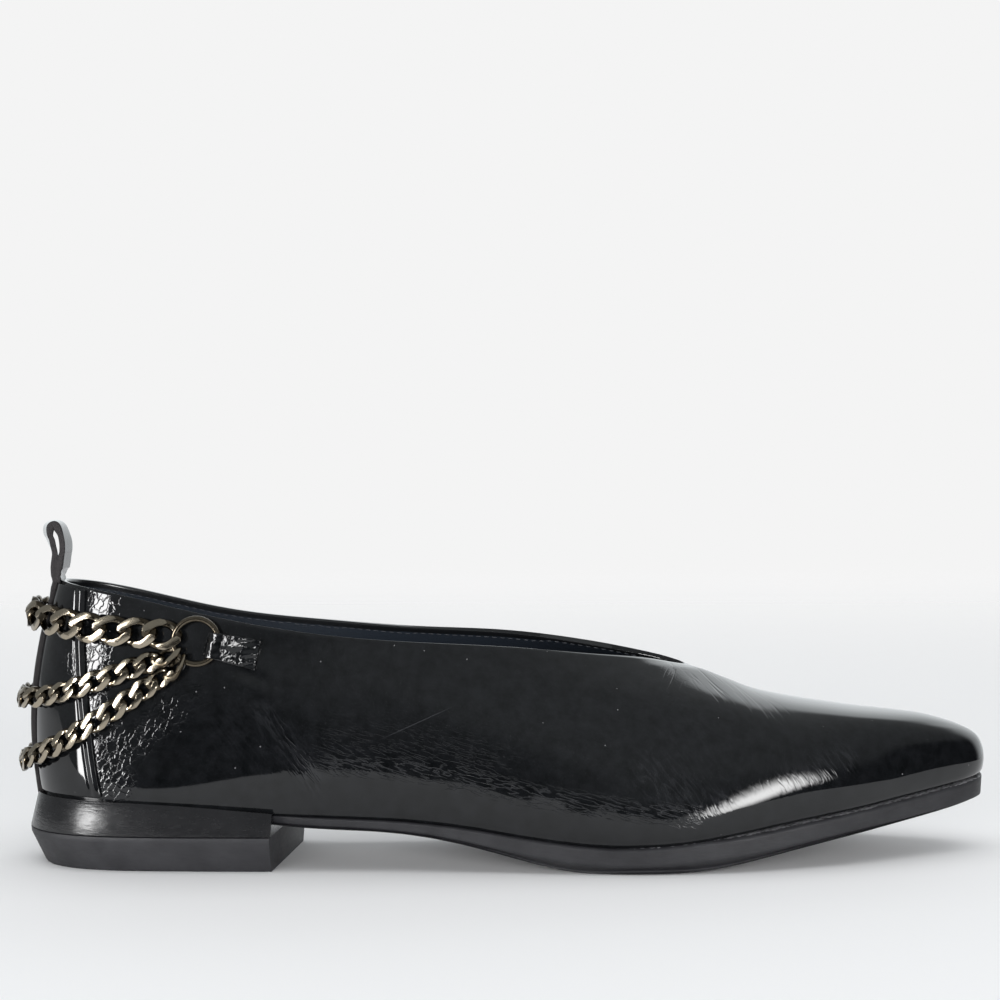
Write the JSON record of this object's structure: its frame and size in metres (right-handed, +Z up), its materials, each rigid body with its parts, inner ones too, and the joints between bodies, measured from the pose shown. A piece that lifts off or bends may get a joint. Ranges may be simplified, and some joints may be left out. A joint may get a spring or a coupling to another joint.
{
  "type": "flat shoe",
  "caption": "Flat patent leather shoe for the right foot, with a low bevelled heel, a V-shaped throat, a pull loop and curb chains hung round the heel between rings.",
  "frame": {"origin": "on the floor, under the centre of the shoe's box", "axes": "+X toward the toe, +Y toward the medial side, +Z up"},
  "size_m": [0.2737, 0.0818, 0.0942],
  "materials": {
    "black_rubber": "matte with a cut edge",
    "satin_black_rubber": "satin, lightly scratched",
    "black_patent_leather": "glossy patent with fine crinkle",
    "navy_lining_leather": "smooth, dull",
    "gunmetal": "polished, warm grey plating"
  },
  "bodies": {
    "root": {"outsole": "black_rubber", "heel_block": "satin_black_rubber", "heel_lift": "black_rubber", "upper": "black_patent_leather", "counter": "black_patent_leather", "insole": "navy_lining_leather", "pull_strap": "black_patent_leather", "ring_tab_lateral": "black_patent_leather", "ring_tab_medial": "black_patent_leather", "ring_lateral": "gunmetal", "ring_medial": "gunmetal", "chain_top": "gunmetal", "chain_middle": "gunmetal", "chain_bottom": "gunmetal"}
  },
  "joints": []
}
